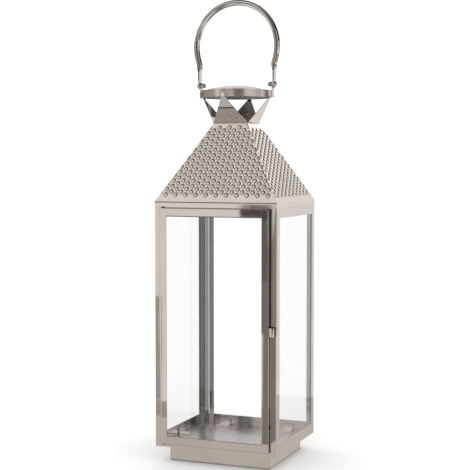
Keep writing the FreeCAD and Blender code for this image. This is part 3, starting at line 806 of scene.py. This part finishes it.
# Ahead of the lantern, mirrored by the door, the front posts and the fascia
front_card("front_flag_top", rectangle(-0.515, -0.4225, 0.326, 0.37), BLACK)
front_card("front_flag_middle", rectangle(-0.515, -0.4225, 0.15, 0.34), (0.17, 0.155, 0.14),
           layer=1)
front_card("front_flag_right", [(-0.4225, 0.0), (-0.20, 0.0), (-0.20, 0.36), (-0.405, 0.36),
                                (-0.4225, 0.253)], (0.33, 0.31, 0.295))
front_card("front_flag_foot", rectangle(-0.515, -0.42, 0.0, 0.16), (0.24, 0.22, 0.20),
           layer=2)
front_card("front_flag_high", rectangle(-0.85, -0.20, 0.41, 0.62), SOOT)
front_card("front_strip", rectangle(-0.95, -0.770, 0.0, 0.093), MID)

# Overhead and high up, mirrored by the roof and its bumps
level_card("ceiling_flag", rectangle(-1.6, 1.6, -0.72, 1.3), CEILING, (0.17, 0.16, 0.15))
round_card("high_left", -84, -58, 1.45, 3.4, SOOT)
round_card("high_far_left", -120, -84, 1.45, 3.4, (0.30, 0.28, 0.26))
round_card("high_front", 7, 62, 1.45, 3.4, BLACK)
round_card("high_right", 62, 146, 0.95, 3.2, (0.035, 0.033, 0.03), 1.7)
round_card("softbox_right", 147, 173.5, 0.98, 3.6, (1.0, 0.98, 0.96), 1.75, strength=1.40)
round_card("high_back", 176, 240, 1.80, 3.2, (0.14, 0.13, 0.12), 1.9)

# Level with the handle, the crown and the cap
round_card("left_wall", -106, -50, 0.50, 1.3, (0.42, 0.37, 0.33), 1.7)
round_card("handle_flag", -36, 10, 0.72, 1.3, (0.09, 0.08, 0.07), 1.55)
round_card("handle_line", 82, 108, 0.72, 1.3, SOOT, 1.55)
round_card("band_right", 122, 147, 0.62, 0.95, UMBER, 1.65)
round_card("band_left", -150, -106, 0.62, 0.95, SLATE, 1.65)

# Level with the body, mirrored by the posts, the rails and the plinth
round_card("camera_side", 12, 46, 0.0, 1.5, UMBER)
round_card("low_right_near", 46, 76, 0.0, 0.44, SOOT, 1.7)
round_card("low_right_far", 102, 140, 0.0, 0.44, SOOT, 1.7)
round_card("back_right_dark", 171, 188, 0.0, 0.98, BLACK, 1.8)
round_card("back_right_high", 174.5, 188, 0.98, 1.7, BLACK, 1.8)
round_card("back_left_dark", 216, 234, 0.0, 1.7, BLACK, 1.8)
round_card("back_left_grey", 190, 216, 0.18, 0.62, (0.52, 0.51, 0.50), 1.5)

MIRRORED = 0.5             # a ray's glossy depth above this came by way of the steel
PAPER = (0.97, 0.97, 0.97, 1.0)
PAPER_IN_STEEL = (0.40, 0.39, 0.39, 1.0)
PAPER_ROUGHNESS = 0.9
ROOM = (1.20, 1.20, 1.20, 1.0)         # the white paper behind the lantern
ROOM_IN_STEEL = (0.95, 0.92, 0.90, 1.0)


def mirrored(tree):
    """1 for a ray that the steel has mirrored, and 0 for any other."""
    path = tree.nodes.new("ShaderNodeLightPath")
    return arithmetic(tree, "GREATER_THAN", path.outputs["Glossy Depth"], MIRRORED)


def paper_floor():
    """The pale studio floor, which the steel sees darker than the camera does."""
    mesh = bpy.data.meshes.new("studio_floor")
    mesh.from_pydata([(x, y, 0) for x, y in WIDE_SQUARE], [], [(0, 1, 2, 3)])
    material, tree, shader = new_material("studio_floor_paper")
    shader.inputs["Base Color"].default_value = PAPER
    shader.inputs["Roughness"].default_value = PAPER_ROUGHNESS
    shader.inputs["Specular IOR Level"].default_value = 0.0
    in_steel = tree.nodes.new("ShaderNodeEmission")
    in_steel.inputs["Color"].default_value = PAPER_IN_STEEL
    either = tree.nodes.new("ShaderNodeMixShader")
    tree.links.new(mirrored(tree), either.inputs["Fac"])
    tree.links.new(shader.outputs["BSDF"], either.inputs[1])
    tree.links.new(in_steel.outputs["Emission"], either.inputs[2])
    tree.links.new(either.outputs["Shader"], tree.nodes["Material Output"].inputs["Surface"])
    mesh.materials.append(material)
    placed("studio_floor", mesh)


def soft_room():
    """Soft light from all sides, which the steel sees a little darker and warmer."""
    world = bpy.data.worlds.new("studio")
    scene.world = world
    world.use_nodes = True
    tree = world.node_tree
    background = tree.nodes["Background"]
    background.inputs["Strength"].default_value = 1.0
    either = tree.nodes.new("ShaderNodeMix")
    either.data_type = "RGBA"
    either.inputs[MIX_COLOUR_A].default_value = ROOM
    either.inputs[MIX_COLOUR_B].default_value = ROOM_IN_STEEL
    tree.links.new(mirrored(tree), either.inputs["Factor"])
    tree.links.new(either.outputs[MIX_COLOUR_RESULT], background.inputs["Color"])


paper_floor()
soft_room()
scene.view_settings.view_transform = "Standard"


# ---------------------------------------------------------------- camera

CAMERA_AZIMUTH = radians(21.96)        # round from the front, towards the right side
CAMERA_DISTANCE = 1.95819              # level, from the lantern's axis
CAMERA_HEIGHT = 0.49098                # above the floor
CAMERA_DOWN = 0.0624                   # aimed down and to the left, in radians
CAMERA_AIM_LEFT = 0.00133
LENS = 90.49               # with the sensor, in mm
SENSOR_WIDTH = 36.0

camera_data = bpy.data.cameras.new("camera")
camera_data.lens = LENS
camera_data.sensor_width = SENSOR_WIDTH
camera = bpy.data.objects.new("camera", camera_data)
camera.location = (CAMERA_DISTANCE * sin(CAMERA_AZIMUTH),
                   -CAMERA_DISTANCE * cos(CAMERA_AZIMUTH), CAMERA_HEIGHT)
camera.rotation_euler = (pi / 2 - CAMERA_DOWN, 0.0, CAMERA_AZIMUTH + CAMERA_AIM_LEFT)
scene.collection.objects.link(camera)
scene.camera = camera
